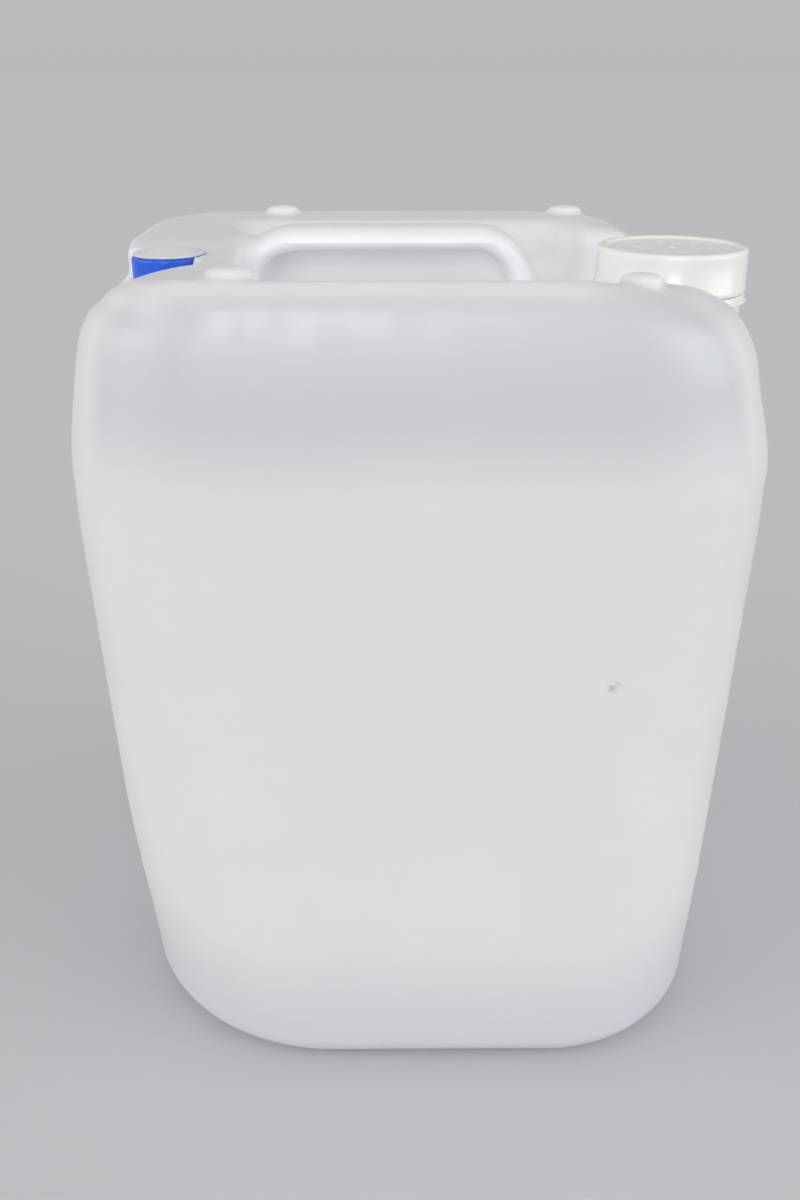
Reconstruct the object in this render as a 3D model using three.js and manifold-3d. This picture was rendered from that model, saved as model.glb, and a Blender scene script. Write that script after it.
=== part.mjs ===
// A 20 litre stackable water can for a food truck: a blow-moulded tank with its own handle,
// a screw cap with its liner and tamper band on the main neck, and a small two-piece vent
// closure with its seal on a second neck.
// Units are millimetres and +Z is up. The front is at -Y and the main neck at +X. The origin
// is the middle of the base.

import * as THREE from 'three';
import { mergeVertices } from 'three/addons/utils/BufferGeometryUtils.js';
import Module from 'manifold-3d';

const wasm = await Module();
wasm.setup();

// ---- Driving dimensions ----
const WALL = 2.4;
const DECK_Z = 383; // top of the stacking deck

// Level sections of the tank from base to deck: half widths to left, right and front or back,
// and the radius of the upright corners. The right shoulder falls away further, to the main neck.
const SECTIONS = [
  { z: 0, left: 126.8, right: 126.8, half: 104.6, corner: 66 },
  { z: 2, left: 135, right: 135, half: 112.8, corner: 73 },
  { z: 5, left: 139.4, right: 139.4, half: 117.2, corner: 77 },
  { z: 10, left: 142.9, right: 142.9, half: 120.7, corner: 80 },
  { z: 18, left: 144.6, right: 144.6, half: 122.4, corner: 81 },
  { z: 60, left: 145.3, right: 145.3, half: 122.5, corner: 77 },
  { z: 165, left: 147.6, right: 147.6, half: 122.7, corner: 70 },
  { z: 230, left: 149.3, right: 149.3, half: 122.9, corner: 67 },
  { z: 285, left: 150.5, right: 150.5, half: 123, corner: 65 },
  { z: 305, left: 149.6, right: 149.6, half: 123, corner: 65 },
  { z: 320, left: 147.4, right: 147, half: 122.9, corner: 64 },
  { z: 334, left: 144.6, right: 143.8, half: 122.6, corner: 63 },
  { z: 350, left: 141.2, right: 139.4, half: 121.8, corner: 60 },
  { z: 358, left: 138.4, right: 134.2, half: 120.9, corner: 57 },
  { z: 366, left: 133.6, right: 126.6, half: 119.8, corner: 54 },
  { z: 370.5, left: 128.2, right: 118.5, half: 118.7, corner: 52 },
  { z: 376, left: 126.6, right: 110, half: 116.6, corner: 51 },
  { z: 380.5, left: 125.8, right: 101.5, half: 114, corner: 50 },
  { z: DECK_Z, left: 124, right: 94, half: 110.5, corner: 49 },
];
const CORNER_STEPS = 8; // flats on each upright corner

// Low domes on the decks that another tank stands on.
const LUG = { r: 10, topR: 3.6, height: 3.5, sink: 6, arcSteps: 4 };
const LUG_PLACES = [[-70, -99], [80, -98], [-70, 99], [80, 99]];

// The hand's valley in side view: its walls are curves that bend at `frontBend` and `rearBend`,
// each measured from the wall's top in Y and from the floor in Z.
const VALLEY = {
  left: -82, right: 74, floorZ: 338, frontTop: -104, frontFloor: -58, rearFloor: 42, rearTop: 65,
  frontBend: [22, 8], rearBend: [6, 6],
};

// The handle's centre line in front view. Each leg runs from its foot up to a knee.
const HANDLE = {
  y: 28, z: 379.3, depth: 26, height: 13.4, left: -56, right: 28, leftBend: 11, rightBend: 13,
  leftFoot: [-104, 353], leftKnee: [-76, 373], rightKnee: [48.5, 366], rightFoot: [69, 328],
};

const MAIN = { x: 111.5, y: -18, pocketFloor: 350, pocketHalf: 41, bossR: 33.8, bossZ: 334 };
const MAIN_NECK = { bore: 26, r: 29, collarR: 31.5, collarTop: 358, mouthZ: 378.1 };
const MAIN_CAP = { r: 33.2, inner: 31.2, bottomZ: 364.3, topZ: 382.7, top: 2.4, edge: 1.8 };
const LINER = { r: 30.4, thickness: 1.6 };
const BAND = { r: 33.2, inner: 31.8, bottomZ: 360, topZ: 363.8, flare: 0.8 };

const VENT = {
  x: -106, y: -40, pocketFloor: 367, pocketHalf: 18.5, pocketCorner: 10,
  frontX: -106, frontY: -97, frontSweep: 14,
};
const VENT_NECK = { bore: 9, r: 11.6, flangeR: 15.7, mouthZ: 377 };
const VENT_RING = { r: 15.5, inner: 12.2, lipInner: 10.4, lipUnderZ: 380.2, bottomZ: 368.6, topZ: 381.8, edge: 1 };
const VENT_DISC = { stemR: 10, flangeR: 11.9, flangeTopZ: 379.9, crownR: 14.4, crownZ: 382.1, topZ: 383.9, edge: 1 };
const VENT_SEAL = { inner: 9.4, outer: 11.5, thickness: 1.2 };

const GAP = 0.3; // clearance between pieces that touch
const AROUND = 40; // sides of a round piece
const REACH = 400; // long enough to cut right across the tank

// ---- Solids from geometry and back ----
function solid(geometry) {
  const bare = geometry.clone();
  bare.deleteAttribute('normal');
  bare.deleteAttribute('uv');
  const merged = mergeVertices(bare, 1e-4);
  return new wasm.Manifold(new wasm.Mesh({
    numProp: 3,
    vertProperties: new Float32Array(merged.attributes.position.array),
    triVerts: new Uint32Array(merged.index.array),
  }));
}

function geometryOf(manifold) {
  const mesh = manifold.getMesh();
  const geometry = new THREE.BufferGeometry();
  geometry.setAttribute('position', new THREE.BufferAttribute(mesh.vertProperties, 3));
  geometry.setIndex(new THREE.BufferAttribute(mesh.triVerts, 1));
  geometry.computeVertexNormals();
  return geometry;
}

// A lathe about Z: the profile is a closed loop of [radius, z] points, or starts and ends on the axis.
function turned(profile, x = 0, y = 0, sides = AROUND) {
  const points = profile.map(([r, z]) => new THREE.Vector2(r, z));
  const geometry = new THREE.LatheGeometry(points, sides);
  geometry.rotateX(Math.PI / 2);
  geometry.translate(x, y, 0);
  return geometry;
}

function tube(inner, outer, bottom, top, x, y, sides = AROUND) {
  return turned([[inner, bottom], [outer, bottom], [outer, top], [inner, top], [inner, bottom]], x, y, sides);
}

function disc(r, bottom, top, x, y, sides = AROUND) {
  return turned([[0, bottom], [r, bottom], [r, top], [0, top]], x, y, sides);
}

function extruded(shape, depth, curveSegments = 8) {
  return new THREE.ExtrudeGeometry(shape, { depth, steps: 1, bevelEnabled: false, curveSegments });
}

// ---- The tank's outer form, drawn smaller by `inset` for its inner face ----

// One section's outline, anticlockwise seen from above, as points at its own height.
function sectionLoop(section, inset) {
  const r = section.corner - inset;
  const right = section.right - inset - r;
  const left = -section.left + inset + r;
  const half = section.half - inset - r;
  const z = inset + section.z * (DECK_Z - 2 * inset) / DECK_Z;
  const centres = [[right, -half], [right, half], [left, half], [left, -half]];
  const points = [];
  centres.forEach(([x, y], corner) => {
    for (let i = 0; i <= CORNER_STEPS; i += 1) {
      const angle = (corner - 1 + i / CORNER_STEPS) * Math.PI / 2;
      points.push(new THREE.Vector3(x + r * Math.cos(angle), y + r * Math.sin(angle), z));
    }
  });
  return points;
}

// A closed loft through the sections, with a fan over each end.
function envelope(inset) {
  const loops = SECTIONS.map((section) => sectionLoop(section, inset));
  const around = loops[0].length;
  const index = [];
  for (let level = 0; level + 1 < loops.length; level += 1) {
    for (let i = 0; i < around; i += 1) {
      const here = level * around + i;
      const next = level * around + (i + 1) % around;
      index.push(here, next, next + around, here, next + around, here + around);
    }
  }
  const lid = (loops.length - 1) * around;
  for (let i = 1; i + 1 < around; i += 1) {
    index.push(0, i + 1, i, lid, lid + i, lid + i + 1);
  }
  const loft = new THREE.BufferGeometry().setFromPoints(loops.flat());
  loft.setIndex(index);
  return solid(loft);
}

// The hand's valley between the front and rear decks, grown by `grow` all round.
function valleyCutter(grow) {
  const shape = new THREE.Shape();
  const above = DECK_Z + 20;
  shape.moveTo(VALLEY.frontTop - grow, DECK_Z);
  shape.quadraticCurveTo(
    VALLEY.frontTop + VALLEY.frontBend[0] - grow, VALLEY.floorZ + VALLEY.frontBend[1] - grow,
    VALLEY.frontFloor - grow, VALLEY.floorZ - grow);
  shape.lineTo(VALLEY.rearFloor + grow, VALLEY.floorZ - grow);
  shape.quadraticCurveTo(
    VALLEY.rearTop - VALLEY.rearBend[0] + grow, VALLEY.floorZ + VALLEY.rearBend[1] - grow,
    VALLEY.rearTop + grow, DECK_Z);
  shape.lineTo(VALLEY.rearTop + grow, above);
  shape.lineTo(VALLEY.frontTop - grow, above);
  shape.lineTo(VALLEY.frontTop - grow, DECK_Z);
  const cutter = extruded(shape, VALLEY.right - VALLEY.left + 2 * grow);
  cutter.rotateX(Math.PI / 2);
  cutter.rotateZ(Math.PI / 2);
  cutter.translate(VALLEY.left - grow, 0, 0);
  return solid(cutter);
}

// The main neck's pocket, open to the right side wall.
function mainPocket(grow) {
  const r = MAIN.pocketHalf + grow;
  const shape = new THREE.Shape();
  shape.moveTo(REACH, -r);
  shape.lineTo(REACH, r);
  shape.lineTo(0, r);
  shape.absarc(0, 0, r, Math.PI / 2, 1.5 * Math.PI);
  const cutter = extruded(shape, REACH, 16);
  cutter.translate(MAIN.x, MAIN.y, MAIN.pocketFloor - grow);
  return solid(cutter);
}

// The vent's pocket, open to the left side wall and reaching forward for the fingers.
function ventPocket(grow) {
  const right = VENT.x + VENT.pocketHalf + grow;
  const rear = VENT.y + VENT.pocketHalf + grow;
  const front = VENT.frontY - grow;
  const swept = front + VENT.frontSweep;
  const corner = VENT.pocketCorner;
  const shape = new THREE.Shape();
  shape.moveTo(-REACH, rear);
  shape.lineTo(-REACH, front);
  shape.lineTo(VENT.frontX, front);
  shape.quadraticCurveTo(VENT.frontX + VENT.frontSweep / 2, swept, right - corner, swept);
  shape.quadraticCurveTo(right, swept, right, swept + corner);
  shape.lineTo(right, rear - corner);
  shape.quadraticCurveTo(right, rear, right - corner, rear);
  const cutter = extruded(shape, REACH);
  cutter.translate(0, 0, VENT.pocketFloor - grow);
  return solid(cutter);
}

function carvedForm(inset) {
  return envelope(inset)
    .subtract(valleyCutter(inset))
    .subtract(mainPocket(inset))
    .subtract(ventPocket(inset));
}

// The handle: an oval bar whose legs bend down into the tank's walls.
function handleBar() {
  const { left, right, z } = HANDLE;
  const at = ([x, height]) => new THREE.Vector3(x, HANDLE.y, height);
  const path = new THREE.CurvePath();
  path.add(new THREE.LineCurve3(at(HANDLE.leftFoot), at(HANDLE.leftKnee)));
  path.add(new THREE.QuadraticBezierCurve3(at(HANDLE.leftKnee), at([left - HANDLE.leftBend, z]), at([left, z])));
  path.add(new THREE.LineCurve3(at([left, z]), at([right, z])));
  path.add(new THREE.QuadraticBezierCurve3(at([right, z]), at([right + HANDLE.rightBend, z]), at(HANDLE.rightKnee)));
  path.add(new THREE.LineCurve3(at(HANDLE.rightKnee), at(HANDLE.rightFoot)));
  const section = new THREE.Shape();
  section.absellipse(0, 0, HANDLE.depth / 2, HANDLE.height / 2, 0, 2 * Math.PI);
  return solid(new THREE.ExtrudeGeometry(section, { steps: 36, curveSegments: 8, extrudePath: path }));
}

// A lug's top is a small flat with a quarter oval falling away round it.
function lug(x, y) {
  const foot = DECK_Z - LUG.sink;
  const profile = [[0, foot], [LUG.r, foot]];
  for (let i = 0; i <= LUG.arcSteps; i += 1) {
    const angle = i / LUG.arcSteps * Math.PI / 2;
    profile.push([
      LUG.topR + (LUG.r - LUG.topR) * Math.cos(angle),
      DECK_Z + LUG.height * Math.sin(angle),
    ]);
  }
  profile.push([0, DECK_Z + LUG.height]);
  return solid(turned(profile, x, y, 20));
}

// The tank without its handle and necks. A round hole takes the foot of each neck.
function tankBody() {
  const mainHole = disc(MAIN.bossR + GAP, MAIN.bossZ - GAP, DECK_Z, MAIN.x, MAIN.y);
  const ventHole = disc(VENT_NECK.flangeR + GAP, VENT.pocketFloor - 3 * WALL, DECK_Z, VENT.x, VENT.y);
  let tank = carvedForm(0);
  for (const [x, y] of LUG_PLACES) {
    tank = tank.add(lug(x, y));
  }
  return tank
    .subtract(carvedForm(WALL))
    .subtract(solid(mainHole))
    .subtract(solid(ventHole));
}

// The handle ends at the tank's walls, a little clear of them.
function handle() {
  return handleBar().subtract(carvedForm(-GAP));
}

// The main neck swells into a boss below the pocket's floor, where it overhangs the side wall.
function mainNeck() {
  const { bore, r, collarR, collarTop, mouthZ } = MAIN_NECK;
  return turned([
    [bore, MAIN.bossZ], [MAIN.bossR, MAIN.bossZ], [collarR, MAIN.pocketFloor], [collarR, collarTop],
    [r, collarTop], [r, mouthZ], [bore, mouthZ], [bore, MAIN.bossZ],
  ], MAIN.x, MAIN.y);
}

// The vent's neck stands on a flange that lies in the pocket's floor.
function ventNeck() {
  const { bore, r, flangeR, mouthZ } = VENT_NECK;
  const floor = VENT.pocketFloor;
  return turned([
    [bore, floor - WALL], [flangeR, floor - WALL], [flangeR, floor], [r, floor],
    [r, mouthZ], [bore, mouthZ], [bore, floor - WALL],
  ], VENT.x, VENT.y);
}

// ---- Closures ----
function mainCap() {
  const { r, inner, bottomZ, topZ, top, edge } = MAIN_CAP;
  const eased = edge * 0.3;
  return turned([
    [0, topZ - top], [inner, topZ - top], [inner, bottomZ], [r, bottomZ],
    [r, topZ - edge], [r - eased, topZ - eased], [r - edge, topZ], [0, topZ],
  ], MAIN.x, MAIN.y);
}

function mainLiner() {
  const bottom = MAIN_NECK.mouthZ + GAP;
  return disc(LINER.r, bottom, bottom + LINER.thickness, MAIN.x, MAIN.y);
}

// The tamper band flares outwards at its foot and stays on the neck.
function tamperBand() {
  const { r, inner, bottomZ, topZ, flare } = BAND;
  return turned([
    [inner, bottomZ], [r + flare, bottomZ + flare], [r + flare, bottomZ + 2 * flare],
    [r - flare / 2, topZ], [inner, topZ], [inner, bottomZ],
  ], MAIN.x, MAIN.y);
}

function ventRing() {
  const { r, inner, lipInner, lipUnderZ, bottomZ, topZ, edge } = VENT_RING;
  return turned([
    [inner, bottomZ], [r, bottomZ], [r, topZ - edge], [r - edge, topZ], [lipInner, topZ],
    [lipInner, lipUnderZ], [inner, lipUnderZ], [inner, bottomZ],
  ], VENT.x, VENT.y);
}

// The disc's flange is held under the ring's lip and its crown covers the ring's top.
function ventDisc() {
  const { stemR, flangeR, flangeTopZ, crownR, crownZ, topZ, edge } = VENT_DISC;
  const flangeBottom = VENT_NECK.mouthZ + 2 * GAP + VENT_SEAL.thickness;
  return turned([
    [0, flangeBottom], [flangeR, flangeBottom], [flangeR, flangeTopZ], [stemR, flangeTopZ],
    [stemR, crownZ], [crownR, crownZ], [crownR, topZ - edge], [crownR - edge, topZ], [0, topZ],
  ], VENT.x, VENT.y);
}

function ventSeal() {
  const bottom = VENT_NECK.mouthZ + GAP;
  return tube(VENT_SEAL.inner, VENT_SEAL.outer, bottom, bottom + VENT_SEAL.thickness, VENT.x, VENT.y);
}

// ---- Materials ----
function plastic(color, roughness) {
  return new THREE.MeshStandardMaterial({ color, roughness, metalness: 0 });
}
const naturalPlastic = plastic(0xdcdfe3, 0.45);
const creamPlastic = plastic(0xdfe0da, 0.28);
const bluePlastic = plastic(0x1f56d6, 0.3);
const linerFoam = plastic(0xe6e3d8, 0.85);
const sealRubber = plastic(0x3c3d40, 0.8);

// ---- Assembly ----
const waterTank = new THREE.Group();

function addPiece(name, geometry, material) {
  const mesh = new THREE.Mesh(geometry, material);
  mesh.name = name;
  waterTank.add(mesh);
}

addPiece('tank_body', geometryOf(tankBody()), naturalPlastic);
addPiece('tank_handle', geometryOf(handle()), naturalPlastic);
addPiece('main_neck', mainNeck(), naturalPlastic);
addPiece('vent_neck', ventNeck(), naturalPlastic);
addPiece('main_cap', mainCap(), creamPlastic);
addPiece('main_cap_liner', mainLiner(), linerFoam);
addPiece('main_tamper_band', tamperBand(), creamPlastic);
addPiece('vent_ring', ventRing(), bluePlastic);
addPiece('vent_disc', ventDisc(), naturalPlastic);
addPiece('vent_seal', ventSeal(), sealRubber);

export default waterTank;
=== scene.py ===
"""Looks of a moulded fresh water tank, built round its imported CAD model.

The tank's form is a signed distance field in millimetres: lofted walls, with the hand's valley and the
closures' pockets taken out of it and the handle and the lugs blended into it. A surface net turns the
field into a mesh. The closures are lathed, with screw threads. Blender units are metres, +Z is up, the
front is at -Y and the main cap at +X.
"""

import math

import bpy
import numpy as np
from mathutils import Matrix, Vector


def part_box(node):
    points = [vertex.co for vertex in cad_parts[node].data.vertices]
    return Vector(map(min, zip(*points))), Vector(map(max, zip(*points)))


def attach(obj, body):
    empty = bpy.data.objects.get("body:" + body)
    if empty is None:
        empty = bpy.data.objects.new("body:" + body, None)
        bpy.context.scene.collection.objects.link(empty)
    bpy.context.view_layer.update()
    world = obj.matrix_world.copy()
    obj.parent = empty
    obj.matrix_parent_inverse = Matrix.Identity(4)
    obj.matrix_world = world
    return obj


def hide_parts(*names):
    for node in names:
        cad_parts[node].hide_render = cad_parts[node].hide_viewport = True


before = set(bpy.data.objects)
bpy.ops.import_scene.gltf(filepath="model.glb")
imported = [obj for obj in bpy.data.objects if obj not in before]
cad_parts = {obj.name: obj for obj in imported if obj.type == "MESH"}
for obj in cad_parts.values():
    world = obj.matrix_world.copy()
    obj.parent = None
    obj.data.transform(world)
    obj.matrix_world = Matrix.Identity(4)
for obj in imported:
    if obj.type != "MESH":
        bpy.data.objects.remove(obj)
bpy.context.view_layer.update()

MM = 0.001
TAU = 2 * math.pi


def node_axis(node):
    """The middle of a CAD node in X and Y, in millimetres."""
    low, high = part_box(node)
    return (low.x + high.x) / 2 / MM, (low.y + high.y) / 2 / MM


def node_levels(node):
    """The lowest and highest Z of a CAD node, in millimetres."""
    low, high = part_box(node)
    return low.z / MM, high.z / MM


def node_radius(node):
    """Half the width of a round CAD node, in millimetres."""
    low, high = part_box(node)
    return (high.x - low.x) / 2 / MM


MAIN_X, MAIN_Y = node_axis("main_cap")
VENT_X, VENT_Y = node_axis("vent_ring")
CAP_BOTTOM, CAP_TOP = node_levels("main_cap")
BAND_BOTTOM = node_levels("main_tamper_band")[0]
LINER_BOTTOM, LINER_TOP = node_levels("main_cap_liner")
RING_BOTTOM, RING_TOP = node_levels("vent_ring")
DISC_BOTTOM, DISC_TOP = node_levels("vent_disc")
SEAL_BOTTOM, SEAL_TOP = node_levels("vent_seal")
CAP_RADIUS = node_radius("main_cap")
BAND_RADIUS = node_radius("main_tamper_band")
LINER_RADIUS = node_radius("main_cap_liner")
RING_RADIUS = node_radius("vent_ring")

# ---- The tank's driving dimensions, in millimetres ----
WALL = 2.4
DECK = 383.0
GRID_STEP = 2.5

# Level sections: height, half widths to left, right and front or back, radius of the upright corners.
SECTIONS = (
    (0, 144.4, 146.4, 122.2, 82),
    (60, 145.3, 147.9, 122.4, 77),
    (165, 147.6, 149.2, 122.6, 70),
    (230, 149.2, 149.8, 122.8, 67),
    (285, 150.3, 150.3, 122.9, 65),
    (305, 149.6, 149.6, 122.9, 65),
    (320, 147.5, 146.0, 122.9, 64),
    (334, 144.7, 141.9, 122.6, 63),
    (350, 141.0, 137.2, 121.8, 60),
    (358, 138.2, 132.4, 120.9, 57),
    (366, 132.8, 125.2, 119.6, 54),
    (370.5, 128.2, 118.0, 118.6, 52),
    (376, 126.8, 110.0, 116.8, 51),
    (383, 125.6, 96.0, 112.6, 50),
)
RIGHT_TIGHTER = 7.0  # how much tighter the rear right corner is at the deck
TIGHTER_FROM = 340.0  # Z where that starts
REAR_LEFT_WIDER = 5.5  # how much further left the rear deck reaches than the front one
WIDER_FROM = (-34.0, 370.0)  # Y and Z where that starts
WIDER_RUN = 40.0  # how far back it grows
LEFT_ROUNDER = 20.0  # how much rounder the left corners are at the foot
ROUNDER_TO = 140.0  # Z where that ends
BASE_ROUND = 18.0
DECK_ROUND = 3.5

# Walls of the hand's valley: where each one is at the deck and at the floor.
VALLEY_FLOOR = 338.0
VALLEY_FRONT = (-103.5, -64.0)
VALLEY_REAR = (66.0, 35.0)
VALLEY_LEFT = (-78.0, -64.0)
VALLEY_SKEW = 0.108  # how far the left wall leans away to the rear, about VALLEY_TURN
VALLEY_TURN = -48.0
VALLEY_RIGHT = (80.0, 72.0)
VALLEY_FILLET = 13.0
VALLEY_RIM = 5.5

# The pocket round the main neck, and the swelling under it.
POCKET_FLOOR = 350.0
POCKET_RADIUS = 37.5
POCKET_SPLAY = 0.14
POCKET_FILLET = 9.0
HOLLOW_BLEND = 36.0  # between the valley and this pocket
BOSS_RADIUS = 33.0
BOSS_FOOT = 322.0
BOSS_ROUND = 3.0
BOSS_FILLET = 6.0

# The vent's pocket: a round wall behind the ring, and a trough that opens in front of it.
VENT_FLOOR = 367.0
VENT_RADIUS = 16.3
VENT_REAR = VENT_Y + VENT_RADIUS
VENT_WALL = (-92.0, -58.0)  # X and Y of a point on the trough's right wall
VENT_WALL_LEAN = 0.36  # how far that wall runs to the right on its way to the front
VENT_FRONT = (-77.5, -58.0)  # Y of the front wall at the deck and at the floor
VENT_FRONT_LEAN = 0.55  # how far that wall runs to the rear on its way to the right
VENT_JOIN = 2.0
VENT_CORNER = 6.0
RING_ROOM = 0.9  # kept free round the ring and below it, whatever the walls and fillets do
RING_ROOM_EDGE = 0.5
VENT_FILLET = 4.0
VENT_RIMS = (1.2, 3.0)  # the rim's rounding behind the ring and in front of it
RIM_CHANGE = (VENT_Y - 18.0, 12.0)  # Y where one rim starts to become the other, and over how much

# The deck dips towards the ring, but not in front of it.
VENT_DISH = 1.8
VENT_DISH_WIDTH = 24.0
DISH_FROM = (VENT_Y - 6.0, 16.0)  # Y where the dip starts, and over how much it grows
DISH_EDGE = 1.0

# The front deck's left end falls away along a slope behind the front wall.
SLOPE_START = -101.0
SLOPE_FALL = 0.38
SLOPE_REAR = -50.0
SLOPE_ROUND = 10.0
SLOPE_RIM = 4.5

# The front deck's right end falls away to the rear.
RIGHT_SLOPE_FROM = (62.0, -107.0)  # X and Y
RIGHT_SLOPE_FALL = 0.27
RIGHT_SLOPE_REAR = -40.0
RIGHT_SLOPE_ROUND = 8.0

# The handle's centre line in front view, and its oval section.
HANDLE_Y = 28.0
HANDLE_Z = 379.8
HANDLE_DEPTH = 26.0
HANDLE_HEIGHT = 12.3
HANDLE_LEFT = -56.0
HANDLE_RIGHT = 28.0
LEFT_KNEE = (-76.0, 373.0)
LEFT_FOOT = (-104.0, 353.0)
RIGHT_KNEE = (48.5, 366.0)
RIGHT_FOOT = (69.0, 328.0)
LEFT_BEND = 11.0
RIGHT_BEND = 13.0
HANDLE_FILLET = 5.0
LEFT_FLARE = 8.0  # how much larger the fillet gets at the handle's left foot
FLARE_FROM = (54.0, 26.0)  # distance left of the middle where that starts, and over how much it grows
HANDLE_REACH = (30.0, 25.0)  # how far from the bar, in Y and below the valley's floor, it is worked out
HANDLE_ENDS = (-140.0, 100.0)  # X between which it is worked out
BEND_STEPS = 8

# Lugs: X, Y, height above the deck and radius.
LUGS = ((-72.5, -99.0, 0, 9.5), (82.5, -97, -3.0, 8.5), (-70, 99, 0, 9), (80, 99, 0, 9))
LUG_HEIGHT = 3.5
LUG_FULLNESS = 2.6  # 2 is an oval dome, and more is squarer
LUG_FILLET = 1.2

# Faint lines that the mould leaves round the tank.
UPPER_LINE = 294.0
LOWER_LINE = 83.5
LINE_STEP = 0.3
LINE_WIDTH = 3.0

# Necks.
NECK_ROOT = 1.0  # how far a neck's foot reaches below the inner face of the deck
BORE_REACH = 12.0  # how far a bore's cut reaches below the outer one
MAIN_NECK_BORE = 26.0
MAIN_NECK_RADIUS = 28.9
MAIN_COLLAR_RADIUS = 31.6
MAIN_COLLAR_TOP = BAND_BOTTOM - 0.3
MAIN_MOUTH = LINER_BOTTOM - 0.3
MAIN_PITCH = 4.0
VENT_NECK_BORE = 9.0
VENT_NECK_RADIUS = 11.2
VENT_MOUTH = SEAL_BOTTOM - 0.3
VENT_PITCH = 3.0
THREAD_SHARE = 0.5  # how much of each turn's pitch the thread itself takes up
MAIN_THREAD, CAP_THREAD, VENT_THREAD = 1.3, 1.0, 0.5  # how far each one stands out


# ---- Signed distances, below 0 inside ----
def round_max(a, b, radius):
    """The intersection of two forms, with a rounded edge."""
    over = np.hypot(np.maximum(a + radius, 0), np.maximum(b + radius, 0))
    return np.minimum(np.maximum(a, b), -radius) + over


def round_min(a, b, radius):
    """The union of two forms, with a fillet between them."""
    return -round_max(-a, -b, radius)


def ramp(value, start, width):
    """0 before start and 1 past start + width, with a smooth rise between."""
    t = np.clip((value - start) / width, 0, 1)
    return t * t * (3 - 2 * t)


def section_at(z):
    """Half widths and corner radius of the walls at heights z, as smooth curves through SECTIONS."""
    rows = np.array(SECTIONS, float)
    heights, values = rows[:, 0], rows[:, 1:]
    slopes = np.gradient(values, heights, axis=0)
    z = np.clip(z, heights[0], heights[-1])
    i = np.clip(np.searchsorted(heights, z) - 1, 0, len(heights) - 2)
    span = (heights[i + 1] - heights[i])[:, None]
    t = (z - heights[i])[:, None] / span
    start, end = values[i], values[i + 1]
    rise = (1 + 2 * t) * (1 - t) ** 2 * start + t * t * (3 - 2 * t) * end
    bend = t * (1 - t) ** 2 * span * slopes[i] - t * t * (1 - t) * span * slopes[i + 1]
    return (rise + bend).T


def envelope(x, y, z):
    """The tank without its hollows: lofted walls, a rounded foot and a flat deck."""
    left, right, half, corner = section_at(z)
    wider_y, wider_z = WIDER_FROM
    left = left + REAR_LEFT_WIDER * ramp(y, wider_y, WIDER_RUN) * ramp(z, wider_z, DECK - wider_z)
    rear_right = (x > 0) & (y > 0)
    corner = corner - np.where(rear_right, RIGHT_TIGHTER, 0) * ramp(z, TIGHTER_FROM, DECK - TIGHTER_FROM)
    corner = corner + np.where(x < 0, LEFT_ROUNDER, 0) * (1 - ramp(z, 0, ROUNDER_TO))
    qx = np.abs(x - (right - left) / 2) - ((left + right) / 2 - corner)
    qy = np.abs(y) - (half - corner)
    side = np.hypot(np.maximum(qx, 0), np.maximum(qy, 0)) + np.minimum(np.maximum(qx, qy), 0) - corner
    side = side - LINE_STEP * ramp(z, UPPER_LINE, LINE_WIDTH)
    side = side - LINE_STEP * np.exp(-(((z - LOWER_LINE) / LINE_WIDTH) ** 2))
    closed = round_max(side + LINE_STEP, -z, BASE_ROUND)
    return round_max(closed, z - DECK, DECK_ROUND)


def sloping_wall(u, z, ends, floor):
    """Distance past a wall at ends[0] on the deck and ends[1] on the floor, below 0 on its +u side."""
    run, rise = ends[1] - ends[0], DECK - floor
    return -((u - ends[1]) * rise + (z - floor) * run) / math.hypot(run, rise)


def valley(x, y, z):
    across = round_max(
        sloping_wall(x + VALLEY_SKEW * (y - VALLEY_TURN), z, VALLEY_LEFT, VALLEY_FLOOR),
        sloping_wall(-x, z, (-VALLEY_RIGHT[0], -VALLEY_RIGHT[1]), VALLEY_FLOOR),
        VALLEY_FILLET,
    )
    along = round_max(
        sloping_wall(y, z, VALLEY_FRONT, VALLEY_FLOOR),
        sloping_wall(-y, z, (-VALLEY_REAR[0], -VALLEY_REAR[1]), VALLEY_FLOOR),
        VALLEY_FILLET,
    )
    return round_max(round_max(across, along, VALLEY_FILLET), VALLEY_FLOOR - z, VALLEY_FILLET)


def main_pocket(x, y, z):
    radius = POCKET_RADIUS + POCKET_SPLAY * (z - POCKET_FLOOR)
    upright = np.hypot(np.minimum(x - MAIN_X, 0), y - MAIN_Y) - radius
    return round_max(upright, POCKET_FLOOR - z, POCKET_FILLET)


def vent_pocket(x, y, z):
    round_wall = np.hypot(x - VENT_X, y - VENT_Y) - VENT_RADIUS
    wall = (x - VENT_WALL[0] - VENT_WALL_LEAN * (VENT_WALL[1] - y)) / math.hypot(1, VENT_WALL_LEAN)
    wall = np.maximum(wall, y - VENT_REAR)
    front = sloping_wall(y - VENT_FRONT_LEAN * (x - VENT_X), z, VENT_FRONT, VENT_FLOOR)
    upright = round_max(round_min(round_wall, wall, VENT_JOIN), front, VENT_CORNER)
    pocket = round_max(upright, VENT_FLOOR - z, VENT_FILLET)
    room = np.hypot(x - VENT_X, y - VENT_Y) - (RING_RADIUS + RING_ROOM)
    return np.minimum(pocket, round_max(room, RING_BOTTOM - RING_ROOM - z, RING_ROOM_EDGE))


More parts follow.
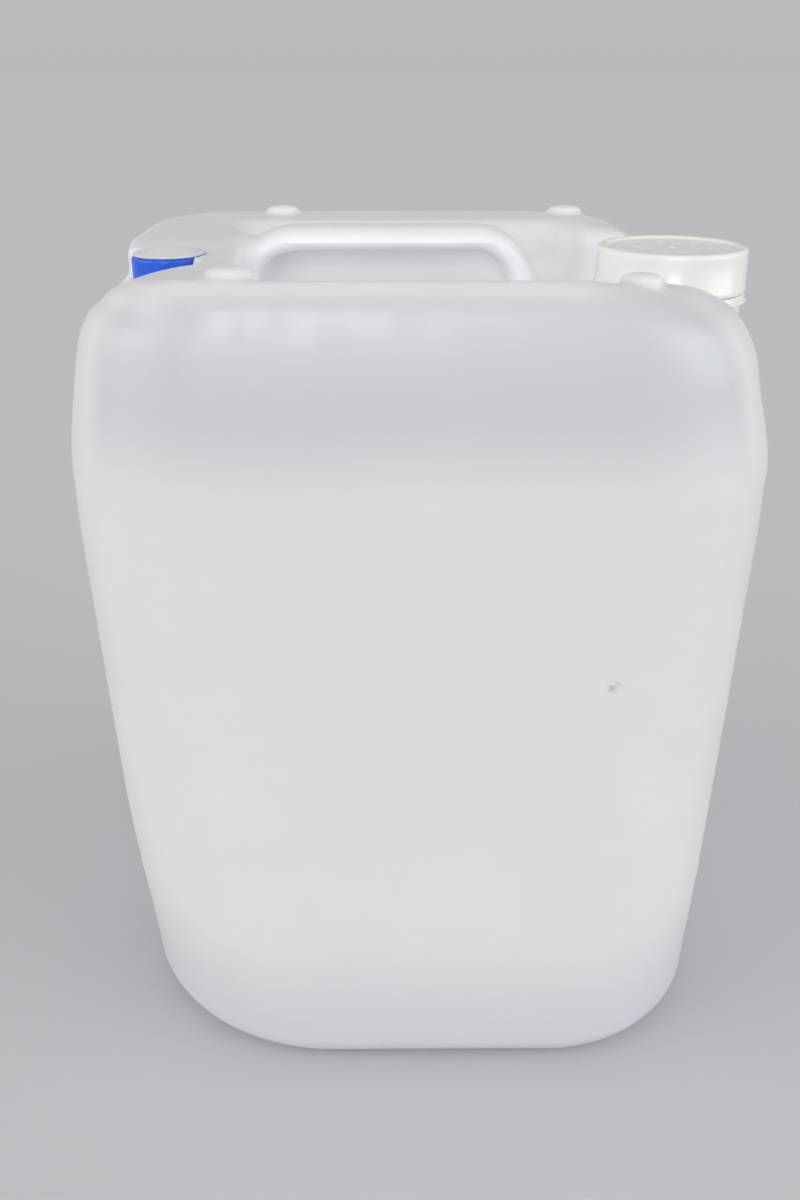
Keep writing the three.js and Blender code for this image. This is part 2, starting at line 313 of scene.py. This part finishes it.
def deck_slopes(x, y, z):
    """What the slopes at both ends of the front deck take away."""
    left = (DECK - SLOPE_FALL * (SLOPE_START - x) - z) / math.hypot(1, SLOPE_FALL)
    left = round_max(left, y - SLOPE_REAR, SLOPE_ROUND)
    start_x, start_y = RIGHT_SLOPE_FROM
    right = (DECK - RIGHT_SLOPE_FALL * (y - start_y) - z) / math.hypot(1, RIGHT_SLOPE_FALL)
    right = round_max(right, start_x - x, RIGHT_SLOPE_ROUND)
    right = round_max(right, y - RIGHT_SLOPE_REAR, RIGHT_SLOPE_ROUND)
    return np.minimum(left, right)


def bend_points(start, control, end):
    """Points along a quadratic curve."""
    steps = np.linspace(0, 1, BEND_STEPS)[:, None]
    start, control, end = (np.array(p, float) for p in (start, control, end))
    return (1 - steps) ** 2 * start + 2 * steps * (1 - steps) * control + steps**2 * end


def handle_line():
    left = bend_points(LEFT_KNEE, (HANDLE_LEFT - LEFT_BEND, HANDLE_Z), (HANDLE_LEFT, HANDLE_Z))
    right = bend_points((HANDLE_RIGHT, HANDLE_Z), (HANDLE_RIGHT + RIGHT_BEND, HANDLE_Z), RIGHT_KNEE)
    return np.vstack([[LEFT_FOOT], left, right, [RIGHT_FOOT]])


def handle(x, y, z):
    """The bar: an oval swept along its centre line. Far from it, a distance that blends with nothing."""
    far = 50.0
    reach_y, reach_below = HANDLE_REACH
    near = (np.abs(y - HANDLE_Y) < reach_y) & (z > VALLEY_FLOOR - reach_below)
    near = near & (x > HANDLE_ENDS[0]) & (x < HANDLE_ENDS[1])
    distance = np.full(len(x), far)
    point = np.stack([x[near], z[near]], -1)
    line = handle_line()
    nearest = np.full(len(point), far * far)
    for start, end in zip(line[:-1], line[1:]):
        step = end - start
        t = np.clip((point - start) @ step / (step @ step), 0, 1)
        nearest = np.minimum(nearest, np.sum((point - start - t[:, None] * step) ** 2, axis=1))
    oval = np.hypot(np.sqrt(nearest) / HANDLE_HEIGHT, (y[near] - HANDLE_Y) / HANDLE_DEPTH) * 2
    distance[near] = (oval - 1) * HANDLE_HEIGHT / 2
    return distance


def lug(x, y, z, place):
    centre_x, centre_y, lift, radius = place
    flat = np.hypot(x - centre_x, y - centre_y) / radius
    tall = np.abs(z - DECK - lift) / LUG_HEIGHT
    reach = (flat**LUG_FULLNESS + tall**LUG_FULLNESS) ** (1 / LUG_FULLNESS)
    return (reach - 1) * LUG_HEIGHT


def boss(x, y, z):
    """The swelling under the main neck, where it overhangs the wall."""
    upright = np.hypot(x - MAIN_X, y - MAIN_Y) - BOSS_RADIUS
    level = np.abs(z - (POCKET_FLOOR + BOSS_FOOT) / 2) - (POCKET_FLOOR - BOSS_FOOT) / 2
    return round_max(upright, level, BOSS_ROUND)


def tank_field(points):
    """The tank's outside, without its necks."""
    x, y, z = points.T
    form = envelope(x, y, z)
    hollow = round_min(valley(x, y, z), main_pocket(x, y, z), HOLLOW_BLEND)
    form = round_max(form, -hollow, VALLEY_RIM)
    form = round_max(form, -deck_slopes(x, y, z), SLOPE_RIM)
    rear_rim, front_rim = VENT_RIMS
    vent_rim = front_rim + (rear_rim - front_rim) * ramp(y, *RIM_CHANGE)
    form = round_max(form, -vent_pocket(x, y, z), vent_rim)
    from_vent = np.hypot(x - VENT_X, y - VENT_Y)
    dip = (1 - ramp(from_vent, VENT_RADIUS, VENT_DISH_WIDTH)) * ramp(y, *DISH_FROM)
    form = round_max(form, z - (DECK - VENT_DISH * dip), DISH_EDGE)
    form = round_min(form, boss(x, y, z), BOSS_FILLET)
    fillet = HANDLE_FILLET + LEFT_FLARE * ramp(-x, *FLARE_FROM)
    form = round_min(form, handle(x, y, z), fillet)
    for place in LUGS:
        form = round_min(form, lug(x, y, z, place), LUG_FILLET)
    return form


# ---- From a field to a mesh ----
def surface_net(field, low, high, step):
    """Vertices and quads of the surface where the field is 0: one vertex in each cell that it crosses."""
    axes = [np.arange(a - 2 * step, b + 2.5 * step, step) for a, b in zip(low, high)]
    points = np.stack(np.meshgrid(*axes, indexing="ij"), -1)
    value = field(points.reshape(-1, 3)).reshape(points.shape[:3])
    cells = tuple(n - 1 for n in value.shape)
    total = np.zeros((int(np.prod(cells)), 3))
    count = np.zeros(len(total))
    quads = []
    for a in range(3):
        b, c = (a + 1) % 3, (a + 2) % 3
        before = np.take(value, range(value.shape[a] - 1), axis=a)
        after = np.take(value, range(1, value.shape[a]), axis=a)
        base = np.argwhere((before < 0) != (after < 0))
        v0, v1 = before[tuple(base.T)], after[tuple(base.T)]
        crossing = base.astype(float)
        crossing[:, a] += v0 / (v0 - v1)
        ring = []
        for shift_b, shift_c in ((-1, -1), (0, -1), (0, 0), (-1, 0)):
            cell = base.copy()
            cell[:, b] += shift_b
            cell[:, c] += shift_c
            flat = np.ravel_multi_index(cell.T, cells)
            np.add.at(total, flat, crossing)
            np.add.at(count, flat, 1)
            ring.append(flat)
        ring = np.stack(ring, -1)
        ring[v0 >= 0] = ring[v0 >= 0][:, ::-1]
        quads.append(ring)
    quads = np.vstack(quads)
    used, quads = np.unique(quads, return_inverse=True)
    quads = quads.reshape(-1, 4)
    vertices = total[used] / count[used][:, None] * step + [axis[0] for axis in axes]
    return vertices, quads


def settle(field, points, rounds=2):
    """Moves points along the field's slope onto its surface."""
    reach = 0.05
    least_steepness = 0.05
    for _ in range(rounds):
        value = field(points)
        slope = np.stack([field(points + reach * np.eye(3)[a]) - value for a in range(3)], -1) / reach
        move = value / np.maximum(np.sum(slope**2, axis=1), least_steepness)
        points = points - np.clip(move, -GRID_STEP, GRID_STEP)[:, None] * slope
    return points


def relax(field, points, quads, rounds=3):
    """Evens the quads out: each point moves towards its neighbours' middle and back onto the surface."""
    pairs = np.vstack([quads[:, [i, (i + 1) % 4]] for i in range(4)])
    degree = np.bincount(pairs.ravel(), minlength=len(points))[:, None]
    for _ in range(rounds):
        around = np.zeros_like(points)
        np.add.at(around, pairs[:, 0], points[pairs[:, 1]])
        np.add.at(around, pairs[:, 1], points[pairs[:, 0]])
        points = settle(field, points + 0.5 * (around / degree - points), rounds=1)
    return settle(field, points)


def new_object(name, vertices, faces):
    """A mesh object from points in millimetres."""
    mesh = bpy.data.meshes.new(name)
    mesh.from_pydata((np.asarray(vertices) * MM).tolist(), [], [list(map(int, f)) for f in faces])
    mesh.validate()
    mesh.update()
    obj = bpy.data.objects.new(name, mesh)
    bpy.context.scene.collection.objects.link(obj)
    return obj


def field_object(name, field, low, high):
    """A closed mesh of a field's surface, inside a box from low to high."""
    points, quads = surface_net(field, low, high, GRID_STEP)
    points = relax(field, settle(field, points), quads)
    return new_object(name, points, quads)


# ---- Lathed forms ----
def arc(centre_r, centre_z, radius, start, end, steps=6):
    """Points of a profile along a round stretch, between two angles in degrees."""
    angles = [math.radians(start + (end - start) * i / steps) for i in range(steps + 1)]
    return [(centre_r + radius * math.cos(a), centre_z + radius * math.sin(a)) for a in angles]


def lathed(name, profile, x, y, sides=96, radius_at=None):
    """A closed profile of (radius, z) turned about an upright axis. radius_at may change each radius."""
    on_axis = [r < 1e-6 for r, _ in profile]
    vertices, rows = [], []
    for (r, z), axial in zip(profile, on_axis):
        if axial:
            rows.append([len(vertices)] * sides)
            vertices.append((x, y, z))
            continue
        rows.append(list(range(len(vertices), len(vertices) + sides)))
        for i in range(sides):
            angle = TAU * i / sides
            radius = radius_at(r, z, angle) if radius_at else r
            vertices.append((x + radius * math.cos(angle), y + radius * math.sin(angle), z))
    faces = []
    count = len(profile)
    for j in range(count):
        k = (j + 1) % count
        if on_axis[j] and on_axis[k]:
            continue
        for i in range(sides):
            n = (i + 1) % sides
            face = [rows[j][i], rows[j][n], rows[k][n], rows[k][i]]
            faces.append([v for at, v in enumerate(face) if v not in face[:at]])
    return new_object(name, vertices, faces)


def thread_bump(z, angle, low, high, pitch, height):
    """How far a right-hand thread stands out at a height and an angle. It fades out at both its ends."""
    off_crest = (z / pitch - angle / TAU) % 1.0 - 0.5
    if abs(off_crest) >= THREAD_SHARE / 2:
        return 0.0
    rise = max(0.0, math.cos(off_crest * math.pi / THREAD_SHARE))
    half_turn = pitch / 2
    fade = min(1.0, max(0.0, z - low) / half_turn, max(0.0, high - z) / half_turn)
    return height * math.sqrt(rise) * fade


def spaced(start, end, step):
    count = max(1, round(abs(end - start) / step))
    return [start + (end - start) * i / count for i in range(count + 1)]


def main_neck():
    foot = POCKET_FLOOR - WALL - NECK_ROOT
    r, bore_radius, mouth = MAIN_NECK_RADIUS, MAIN_NECK_BORE, MAIN_MOUTH
    edge = 0.8
    profile = [(bore_radius, foot), (MAIN_COLLAR_RADIUS, foot)]
    profile += arc(MAIN_COLLAR_RADIUS - edge, MAIN_COLLAR_TOP - edge, edge, 0, 90, 4)
    profile += [(r, z) for z in spaced(MAIN_COLLAR_TOP, mouth - 1, 0.4)]
    profile += arc(r - edge, mouth - edge, edge, 0, 90, 4)
    profile += arc(bore_radius + edge, mouth - edge, edge, 90, 180, 4)

    def radius_at(radius, z, angle):
        if radius < r - 0.01 or z < MAIN_COLLAR_TOP + 1:
            return radius
        return radius + thread_bump(z, angle, MAIN_COLLAR_TOP + 3, mouth - 1.5, MAIN_PITCH, MAIN_THREAD)

    return lathed("main_neck_form", profile, MAIN_X, MAIN_Y, 120, radius_at)


def vent_neck():
    foot = VENT_FLOOR - WALL - NECK_ROOT
    r, bore_radius, mouth = VENT_NECK_RADIUS, VENT_NECK_BORE, VENT_MOUTH
    edge = 0.5
    profile = [(bore_radius, foot), (r, foot)]
    profile += [(r, z) for z in spaced(VENT_FLOOR, mouth - 0.8, 0.35)]
    profile += arc(r - edge, mouth - edge, edge, 0, 90, 3)
    profile += arc(bore_radius + edge, mouth - edge, edge, 90, 180, 3)

    def radius_at(radius, z, angle):
        if radius < r - 0.01 or z < VENT_FLOOR + 0.5:
            return radius
        return radius + thread_bump(z, angle, VENT_FLOOR + 1.5, mouth - 1, VENT_PITCH, VENT_THREAD)

    return lathed("vent_neck_form", profile, VENT_X, VENT_Y, 72, radius_at)


def bore(name, x, y, radius, floor):
    """What is taken out of a neck and of the deck under it."""
    bottom, top = floor - BORE_REACH, DECK
    return lathed(name, [(0, bottom), (radius, bottom), (radius, top), (0, top)], x, y)


def combine(obj, others):
    """Joins or cuts solids. Others holds pairs of an operation and an object, which is used up."""
    for operation, other in others:
        modifier = obj.modifiers.new(operation, "BOOLEAN")
        modifier.operation = operation
        modifier.solver = "MANIFOLD"
        modifier.object = other
        bpy.context.view_layer.update()
        mesh = bpy.data.meshes.new_from_object(obj.evaluated_get(bpy.context.evaluated_depsgraph_get()))
        obj.modifiers.clear()
        obj.data = mesh
        bpy.data.objects.remove(other)
    return obj


def smooth(obj, degrees=38):
    """Smooth shading, with edges sharper than the angle kept crisp."""
    obj.data.polygons.foreach_set("use_smooth", [True] * len(obj.data.polygons))
    obj.data.set_sharp_from_angle(angle=math.radians(degrees))
    return obj


def build_tank():
    """The moulding: one hollow solid with both necks, whose bores open into it."""
    low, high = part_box("tank_body")
    low, high = [v / MM for v in low], [v / MM for v in high]
    tank = field_object("fresh_tank_body", tank_field, low, high)
    inside = field_object("tank_inside_form", lambda p: tank_field(p) + WALL, low, high)
    return combine(tank, [
        ("UNION", main_neck()),
        ("UNION", vent_neck()),
        ("DIFFERENCE", inside),
        ("DIFFERENCE", bore("main_bore_form", MAIN_X, MAIN_Y, MAIN_NECK_BORE, POCKET_FLOOR)),
        ("DIFFERENCE", bore("vent_bore_form", VENT_X, VENT_Y, VENT_NECK_BORE, VENT_FLOOR)),
    ])


# ---- Closures ----
def build_main_cap():
    """The screw cap: a band round its foot, a slightly tapered side, and a sunk top with a gate mark."""
    r, bottom, top = CAP_RADIUS, CAP_BOTTOM, CAP_TOP
    inner, ceiling = r - 2.0, top - 2.4
    edge, shoulder, rim = 0.4, 1.8, 0.6
    profile = [(inner, bottom + edge), (inner + edge, bottom), (r - edge, bottom)]
    profile += arc(r - edge, bottom + edge, edge, -90, 0, 3)[1:]
    foot_band = [(r, bottom + 2.6), (r - 0.25, bottom + 3.0), (r - 0.5, top - 2.2)]
    profile += foot_band
    profile += arc(r - 0.5 - shoulder, top - shoulder, shoulder, 0, 90, 7)
    profile += [(r - 3.4, top - 0.05)]
    profile += arc(r - 3.9, top - 0.65, rim, 80, 180, 4)[:3]
    sunk_top = [(r - 5.2, top - 1.05), (r - 8.0, top - 1.2), (12.0, top - 1.1), (2.2, top - 1.05)]
    gate_mark = [(1.9, top - 0.75), (0.9, top - 0.75), (0.7, top - 1.0), (0, top - 1.0)]
    profile += sunk_top + gate_mark
    profile += [(0, ceiling), (inner - rim, ceiling)]
    profile += [(inner, z) for z in spaced(ceiling - rim, bottom + 2 * edge, 0.4)]

    def radius_at(radius, z, angle):
        if abs(radius - inner) > 0.01 or z > ceiling - 0.5:
            return radius
        between_turns = z + MAIN_PITCH / 2
        start = bottom + MAIN_PITCH
        return radius - thread_bump(between_turns, angle, start, ceiling, MAIN_PITCH, CAP_THREAD)

    return lathed("screw_cap", profile, MAIN_X, MAIN_Y, 128, radius_at)


def build_liner():
    edge = 0.3
    flat = LINER_RADIUS - edge
    profile = [(0, LINER_BOTTOM), (flat, LINER_BOTTOM)]
    profile += arc(flat, LINER_BOTTOM + edge, edge, -90, 0, 3)[1:]
    profile += arc(flat, LINER_TOP - edge, edge, 0, 90, 3)
    profile += [(0, LINER_TOP)]
    return lathed("cap_liner_disc", profile, MAIN_X, MAIN_Y)


def build_band():
    """The tamper band: a ring with a bead round its foot, which leaves a fine seam below the cap."""
    outer, inner = BAND_RADIUS, BAND_RADIUS - 2.1
    bottom, top = BAND_BOTTOM, CAP_BOTTOM - 0.3
    edge = 0.2
    profile = [(inner, bottom + 0.3), (outer - 0.7, bottom)]
    profile += arc(outer - 0.6, bottom + 0.8, 0.6, -60, 60, 5)
    profile += [(outer - 0.8, bottom + 2.0), (outer - 1.0, top - edge), (outer - 1.2, top)]
    profile += [(inner + edge, top), (inner, top - edge)]
    return lathed("tamper_band_ring", profile, MAIN_X, MAIN_Y, 128)


RING_RIBS = 48
RIB_DEPTH = 0.08


def build_ring():
    """The vent's screw ring, with fine grip ribs round its side."""
    r, bottom, top = RING_RADIUS, RING_BOTTOM, RING_TOP
    bore_radius, lip, lip_under = 12.2, 10.4, top - 1.6
    foot_edge, top_edge = 0.5, 1.2
    profile = [(bore_radius, bottom + 0.3), (bore_radius + 0.3, bottom), (r - foot_edge, bottom)]
    profile += arc(r - foot_edge, bottom + foot_edge, foot_edge, -90, 0, 3)[1:]
    profile += [(r, z) for z in spaced(bottom + 1.2, top - 1.4, 2.0)]
    profile += arc(r - top_edge, top - top_edge, top_edge, 0, 90, 6)
    profile += [(lip + 0.2, top), (lip, top - 0.2), (lip, lip_under), (bore_radius, lip_under)]

    def radius_at(radius, z, angle):
        if radius < r - 0.01:
            return radius
        return radius - RIB_DEPTH * (0.5 - 0.5 * math.cos(angle * RING_RIBS)) ** 2

    return lathed("vent_screw_ring", profile, VENT_X, VENT_Y, RING_RIBS * 6, radius_at)


def build_disc():
    """The vent's disc: its flange is held under the ring's lip and its crown covers the ring's top."""
    stem, flange, crown = 10.0, 11.9, 14.8
    edge = 0.2
    flange_top, crown_bottom = RING_TOP - 1.9, RING_TOP + 0.3
    bottom, top = DISC_BOTTOM, DISC_TOP
    profile = [(0, bottom), (flange - edge, bottom), (flange, bottom + edge), (flange, flange_top)]
    profile += [(stem, flange_top), (stem, crown_bottom), (crown - 0.3, crown_bottom)]
    dome_foot = crown_bottom + edge
    dome = [math.radians(a) for a in range(10, 90, 8)]
    profile += [(crown, dome_foot)]
    profile += [(crown * math.cos(a) ** 0.5, dome_foot + (top - dome_foot) * math.sin(a)) for a in dome]
    profile += [(0, top)]
    return lathed("vent_crown_disc", profile, VENT_X, VENT_Y)


def build_seal():
    inner, outer = 9.4, 11.5
    middle = (SEAL_BOTTOM + SEAL_TOP) / 2
    half = (SEAL_TOP - SEAL_BOTTOM) / 2
    profile = arc(outer - half, middle, half, -90, 90, 6)
    profile += arc(inner + half, middle, half, 90, 270, 6)
    return lathed("vent_seal_ring", profile, VENT_X, VENT_Y, 72)


# ---- Materials ----
class Surface:
    """A Principled material with a few helpers for its procedural nodes."""

    def __init__(self, name, colour, roughness):
        self.material = bpy.data.materials.new(name)
        self.material.use_nodes = True
        self.nodes = self.material.node_tree.nodes
        self.links = self.material.node_tree.links
        self.shader = self.nodes["Principled BSDF"]
        self.shader.inputs["Base Color"].default_value = (*colour, 1)
        self.shader.inputs["Roughness"].default_value = roughness
        self.place = self.nodes.new("ShaderNodeTexCoord").outputs["Object"]
        self.height = None

    def set(self, **values):
        for name, value in values.items():
            self.shader.inputs[name.replace("_", " ")].default_value = value

    def noise(self, scale, detail, roughness):
        node = self.nodes.new("ShaderNodeTexNoise")
        node.inputs["Scale"].default_value = scale
        node.inputs["Detail"].default_value = detail
        node.inputs["Roughness"].default_value = roughness
        self.links.new(self.place, node.inputs["Vector"])
        return node.outputs["Fac"]

    def ranged(self, value, low, high, to_low, to_high):
        """A value's way from low to high, turned into a smooth way from to_low to to_high."""
        node = self.nodes.new("ShaderNodeMapRange")
        node.interpolation_type = "SMOOTHSTEP"
        limits = (("From Min", low), ("From Max", high), ("To Min", to_low), ("To Max", to_high))
        for name, number in limits:
            node.inputs[name].default_value = number
        self.links.new(value, node.inputs["Value"])
        return node.outputs["Result"]

    def mixed(self, share, first, second):
        """A colour between two colours or sockets."""
        node = self.nodes.new("ShaderNodeMix")
        node.data_type = "RGBA"
        self.links.new(share, node.inputs["Factor"])
        for socket, colour in ((node.inputs["A"], first), (node.inputs["B"], second)):
            if isinstance(colour, tuple):
                socket.default_value = (*colour, 1)
            else:
                self.links.new(colour, socket)
        return node.outputs["Result"]

    def distance_to(self, point):
        node = self.nodes.new("ShaderNodeVectorMath")
        node.operation = "DISTANCE"
        self.links.new(self.place, node.inputs[0])
        node.inputs[1].default_value = point
        return node.outputs["Value"]

    def axis(self, name):
        node = self.nodes.new("ShaderNodeSeparateXYZ")
        self.links.new(self.place, node.inputs["Vector"])
        return node.outputs[name]

    def bump(self, height, distance, strength=1.0):
        """Adds a layer of bump, in metres, over the layers before it."""
        node = self.nodes.new("ShaderNodeBump")
        node.inputs["Distance"].default_value = distance
        node.inputs["Strength"].default_value = strength
        self.links.new(height, node.inputs["Height"])
        if self.height:
            self.links.new(self.height, node.inputs["Normal"])
        self.height = node.outputs["Normal"]
        self.links.new(self.height, self.shader.inputs["Normal"])

    def glow(self, share, colour, strength):
        """Light that the surface gives off, where share is above 0."""
        self.shader.inputs["Emission Color"].default_value = (*colour, 1)
        self.links.new(self.ranged(share, 0, 1, 0, strength), self.shader.inputs["Emission Strength"])

    def math(self, operation, first, second=None):
        node = self.nodes.new("ShaderNodeMath")
        node.operation = operation
        self.links.new(first, node.inputs[0])
        if second:
            self.links.new(second, node.inputs[1])
        return node.outputs["Value"]

    def colour(self, socket):
        self.links.new(socket, self.shader.inputs["Base Color"])

    def roughness(self, socket):
        self.links.new(socket, self.shader.inputs["Roughness"])


# In metres, as the shaders are.
SCUFF_PLACE = (0.081, -0.1226, 0.219)
SCUFF_SIZES = (0.0005, 0.0042)  # radius where it is full, and where it ends
SHOULDER_SHADE_FROM, SHOULDER_SHADE_FULL = 0.295, 0.338  # Z between which the painted shade on the shoulder grows
SHOULDER_SHADE_UNTIL, DECK_LEVEL = 0.374, 0.383  # and between which it ends
# Z below which the painted shade at the foot is full, and above which it is gone
FOOT_SHADE_FULL, FOOT_SHADE_UNTIL = 0.015, 0.10
PAINTED_VALLEY_GLOW = 0.09  # painted glow in the hand valley, in place of light coming through the shell


def natural_plastic():
    """Satin translucent polyethylene with a fine skin. Painted shade makes it greyer across the shoulder
    and at the foot. A painted glow lights the hand valley, and the front has a scuff."""
    s = Surface("natural_polyethylene", (0.80, 0.81, 0.84), 0.36)
    s.set(Subsurface_Weight=0.55, Subsurface_Radius=(0.9, 1.0, 1.15), Subsurface_Scale=0.012, IOR=1.5)
    cloud = s.noise(14, 3, 0.55)
    base = s.mixed(s.ranged(cloud, 0.3, 0.7, 0, 1), (0.785, 0.80, 0.835), (0.82, 0.83, 0.855))
    height = s.axis("Z")
    from_middle_x = s.math("ABSOLUTE", s.axis("X"))
    from_middle_y = s.math("ABSOLUTE", s.axis("Y"))
    # Painted shade: the front and back of the shoulder are greyer up to the deck.
    above = s.ranged(height, SHOULDER_SHADE_FROM, SHOULDER_SHADE_FULL, 0, 1)
    below = s.ranged(height, SHOULDER_SHADE_UNTIL, DECK_LEVEL, 1, 0)
    outside = s.ranged(from_middle_y, 0.096, 0.108, 0, 1)
    shoulder = s.math("MULTIPLY", s.math("MULTIPLY", above, below), outside)
    base = s.mixed(shoulder, base, (0.62, 0.64, 0.69))
    # Painted shade: greyer towards the foot.
    base = s.mixed(s.ranged(height, FOOT_SHADE_FULL, FOOT_SHADE_UNTIL, 1, 0), base, (0.63, 0.65, 0.70))
    near = s.ranged(s.distance_to(SCUFF_PLACE), *SCUFF_SIZES, 1, 0)
    grain = s.ranged(s.noise(300, 3, 0.6), 0.35, 0.65, 0, 0.75)
    s.colour(s.mixed(s.math("MULTIPLY", near, grain), base, (0.33, 0.23, 0.13)))
    # Painted glow that lights the hand valley.
    hollow = s.ranged(height, 0.355, 0.376, 1, 0)
    hollow = s.math("MULTIPLY", hollow, s.ranged(from_middle_x, 0.095, 0.125, 1, 0))
    hollow = s.math("MULTIPLY", hollow, s.ranged(from_middle_y, 0.080, 0.100, 1, 0))
    s.glow(hollow, (0.93, 0.96, 1.0), PAINTED_VALLEY_GLOW)
    s.roughness(s.ranged(s.noise(60, 3, 0.6), 0.3, 0.7, 0.31, 0.42))
    s.bump(s.noise(38, 2, 0.5), 0.0009, 0.35)
    s.bump(s.noise(900, 3, 0.6), 0.00008, 0.5)
    return s.material


def cream_plastic():
    s = Surface("cream_polypropylene", (0.86, 0.85, 0.80), 0.2)
    s.set(Subsurface_Weight=0.3, Subsurface_Radius=(1.0, 0.9, 0.7), Subsurface_Scale=0.004, IOR=1.49)
    cloud = s.ranged(s.noise(60, 3, 0.5), 0.35, 0.65, 0, 1)
    s.colour(s.mixed(cloud, (0.78, 0.775, 0.735), (0.81, 0.805, 0.77)))
    s.roughness(s.ranged(s.noise(180, 3, 0.6), 0.3, 0.7, 0.17, 0.27))
    s.bump(s.noise(700, 3, 0.6), 0.00005, 0.5)
    return s.material


def blue_plastic():
    s = Surface("blue_polypropylene", (0.01, 0.05, 0.46), 0.24)
    s.set(Subsurface_Weight=0.08, Subsurface_Radius=(0.3, 0.5, 1.0), Subsurface_Scale=0.002, IOR=1.49)
    cloud = s.ranged(s.noise(90, 2, 0.5), 0.3, 0.7, 0, 1)
    s.colour(s.mixed(cloud, (0.012, 0.095, 0.62), (0.02, 0.12, 0.70)))
    s.roughness(s.ranged(s.noise(300, 3, 0.6), 0.3, 0.7, 0.15, 0.24))
    s.bump(s.noise(1200, 3, 0.6), 0.00002, 0.4)
    return s.material


def liner_foam():
    s = Surface("liner_foam", (0.78, 0.76, 0.7), 0.85)
    s.colour(s.mixed(s.noise(500, 4, 0.6), (0.74, 0.72, 0.66), (0.81, 0.79, 0.73)))
    s.bump(s.noise(2200, 4, 0.7), 0.0001, 0.8)
    return s.material


def seal_rubber():
    s = Surface("seal_rubber", (0.03, 0.03, 0.032), 0.7)
    s.roughness(s.ranged(s.noise(800, 3, 0.6), 0.3, 0.7, 0.6, 0.8))
    s.bump(s.noise(2600, 3, 0.6), 0.00006, 0.6)
    return s.material


def floor_material():
    s = Surface("pale_floor", (0.60, 0.60, 0.61), 1.0)
    s.set(Specular_IOR_Level=0.0)
    return s.material


# ---- Putting it together ----
def place(obj, material, body, nodes, slot):
    """Puts a finished piece on its body, in place of CAD nodes named in one string."""
    smooth(obj)
    obj.data.materials.clear()
    obj.data.materials.append(material)
    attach(obj, body)
    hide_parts(*nodes.split())
    return obj


TANK_NODES = "tank_body tank_handle main_neck vent_neck"

natural = natural_plastic()
cream = cream_plastic()
place(build_tank(), natural, "tank", TANK_NODES, "natural_tank")
place(build_band(), cream, "tank", "main_tamper_band", "cream_cap")
place(build_main_cap(), cream, "main_cap", "main_cap", "cream_cap")
place(build_liner(), liner_foam(), "main_liner", "main_cap_liner", "cap_liner")
place(build_ring(), blue_plastic(), "vent_ring", "vent_ring", "blue_vent")
place(build_disc(), natural, "vent_disc", "vent_disc", "natural_vent")
place(build_seal(), seal_rubber(), "tank", "vent_seal", "seal_rubber")

# ---- Stage, light and camera ----
FLOOR_HALF = 60.0
HORIZON, ZENITH = 0.50, 0.60  # the world's brightness level with the floor, and overhead
ZENITH_FROM = 0.6  # the sine of the elevation from which it stays at its highest


def build_floor():
    mesh = bpy.data.meshes.new("studio_floor")
    signs = ((-1, -1), (1, -1), (1, 1), (-1, 1))
    corners = [(a * FLOOR_HALF, b * FLOOR_HALF, 0) for a, b in signs]
    mesh.from_pydata(corners, [], [(0, 1, 2, 3)])
    mesh.materials.append(floor_material())
    floor = bpy.data.objects.new("studio_floor", mesh)
    bpy.context.scene.collection.objects.link(floor)


def sun_light(name, azimuth, elevation, spread, strength, colour):
    """A soft light from far away. Azimuth 0 is in front, and 90 at the right."""
    data = bpy.data.lights.new(name, "SUN")
    data.angle = math.radians(spread)
    data.energy = strength
    data.color = colour
    light = bpy.data.objects.new(name, data)
    bpy.context.scene.collection.objects.link(light)
    turn = Matrix.Rotation(math.radians(azimuth), 4, "Z")
    light.matrix_world = turn @ Matrix.Rotation(math.radians(90 - elevation), 4, "X")


build_floor()
sun_light("key_sun", -6, 15, 20, 0.90, (1, 0.998, 0.99))
sun_light("left_sun", -70, 10, 50, 1.32, (1, 0.995, 0.98))
sun_light("right_sun", 70, 10, 50, 1.55, (0.96, 0.98, 1))

world = bpy.data.worlds.new("studio_world")
world.use_nodes = True
sky = world.node_tree.nodes
sky_links = world.node_tree.links
up = sky.new("ShaderNodeSeparateXYZ")
sky_links.new(sky.new("ShaderNodeTexCoord").outputs["Generated"], up.inputs["Vector"])
rise = sky.new("ShaderNodeMapRange")
for name, number in (("From Max", ZENITH_FROM), ("To Min", HORIZON), ("To Max", ZENITH)):
    rise.inputs[name].default_value = number
sky_links.new(up.outputs["Z"], rise.inputs["Value"])
sky_links.new(rise.outputs["Result"], sky["Background"].inputs["Strength"])
sky["Background"].inputs["Color"].default_value = (0.96, 0.98, 1.0, 1)
bpy.context.scene.world = world
bpy.context.scene.view_settings.view_transform = "Standard"

# The camera, in metres, degrees and millimetres.
CAMERA_PLACE = (-0.011, -0.528, 0.454)
CAMERA_DOWN = 25.6
CAMERA_TURN = -0.3
SENSOR = (24.0, 36.0)
FOCAL = 33.51

camera_data = bpy.data.cameras.new("photo_camera")
camera_data.sensor_fit = "VERTICAL"
camera_data.sensor_width, camera_data.sensor_height = SENSOR
camera_data.lens = FOCAL
camera_data.clip_start = 0.01
camera = bpy.data.objects.new("photo_camera", camera_data)
bpy.context.scene.collection.objects.link(camera)
camera.matrix_world = (
    Matrix.Translation(CAMERA_PLACE)
    @ Matrix.Rotation(math.radians(CAMERA_TURN), 4, "Z")
    @ Matrix.Rotation(math.radians(90 - CAMERA_DOWN), 4, "X")
)
bpy.context.scene.camera = camera
